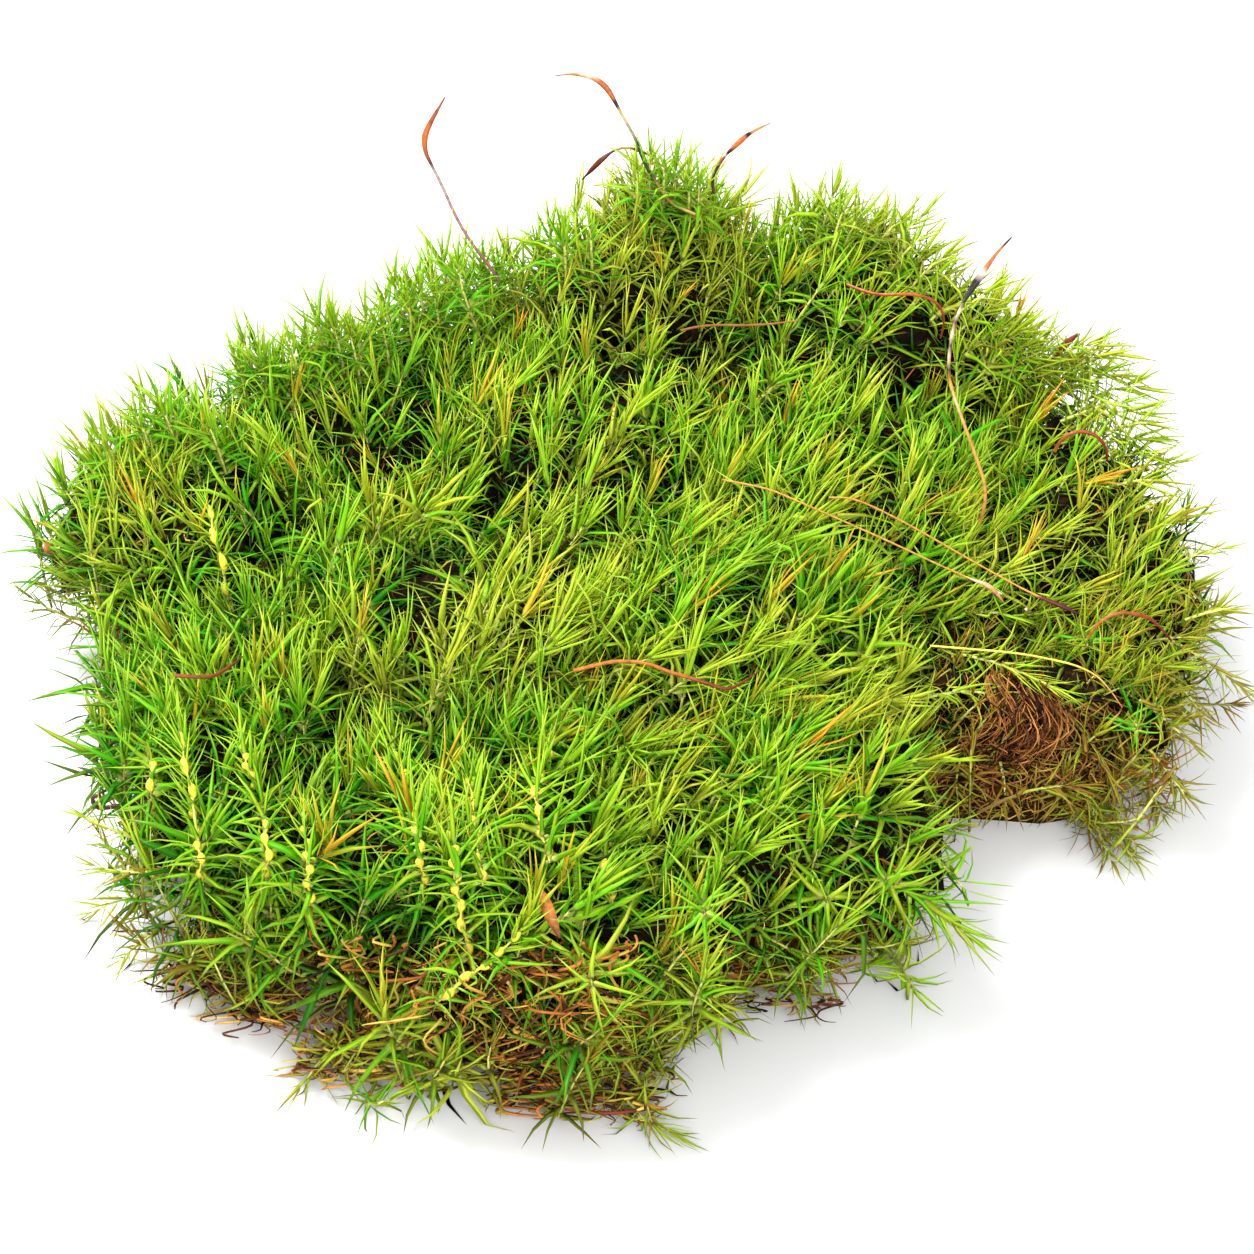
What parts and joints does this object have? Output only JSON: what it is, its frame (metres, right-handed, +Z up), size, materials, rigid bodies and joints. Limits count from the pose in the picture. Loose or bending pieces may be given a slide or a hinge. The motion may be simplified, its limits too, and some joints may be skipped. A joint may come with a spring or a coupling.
{
  "type": "moss clump",
  "caption": "Low cushion of leafy forest moss on its flat-cut brown root mat, with thin capsule stalks and bits of plant litter.",
  "frame": {"origin": "on the flat cut under the root mat, below the middle of the clump's box", "axes": "+Z up from the surface it rests on, +X to the right along the clump's longest side, +Y away from its front edge"},
  "size_m": [0.168, 0.154, 0.0606],
  "materials": {
    "moss": "matte",
    "dead_moss": "matte",
    "root_mat": "matte",
    "seta": "satin",
    "straw": "satin",
    "litter": "matte"
  },
  "bodies": {
    "root": {"root_mat": "root_mat", "moss_tuft_back_hump": "moss", "moss_tuft_back_right": "moss", "moss_tuft_back_left": "moss", "moss_tuft_left": "moss", "moss_tuft_middle_ridge": "moss", "moss_tuft_right_field": "moss", "moss_tuft_right_edge": "moss", "moss_tuft_left_front": "moss", "moss_tuft_middle": "moss", "moss_tuft_middle_right": "moss", "moss_tuft_front": "moss", "moss_tuft_front_right": "moss", "moss_tuft_right_front": "moss", "dead_tuft_right_front": "dead_moss", "sporophyte_back_left": "seta", "sporophyte_back_tall": "seta", "sporophyte_back_arched": "seta", "sporophyte_back_short": "seta", "sporophyte_right": "seta", "bent_stalk_right_field": "seta", "bent_stalk_right_edge": "seta", "bent_stalk_right_front": "seta", "fallen_stalk_long": "seta", "fallen_stalk_short": "seta", "thin_stalk_back": "seta", "straw_right": "straw", "needle_middle": "litter", "needle_left": "litter"}
  },
  "joints": []
}
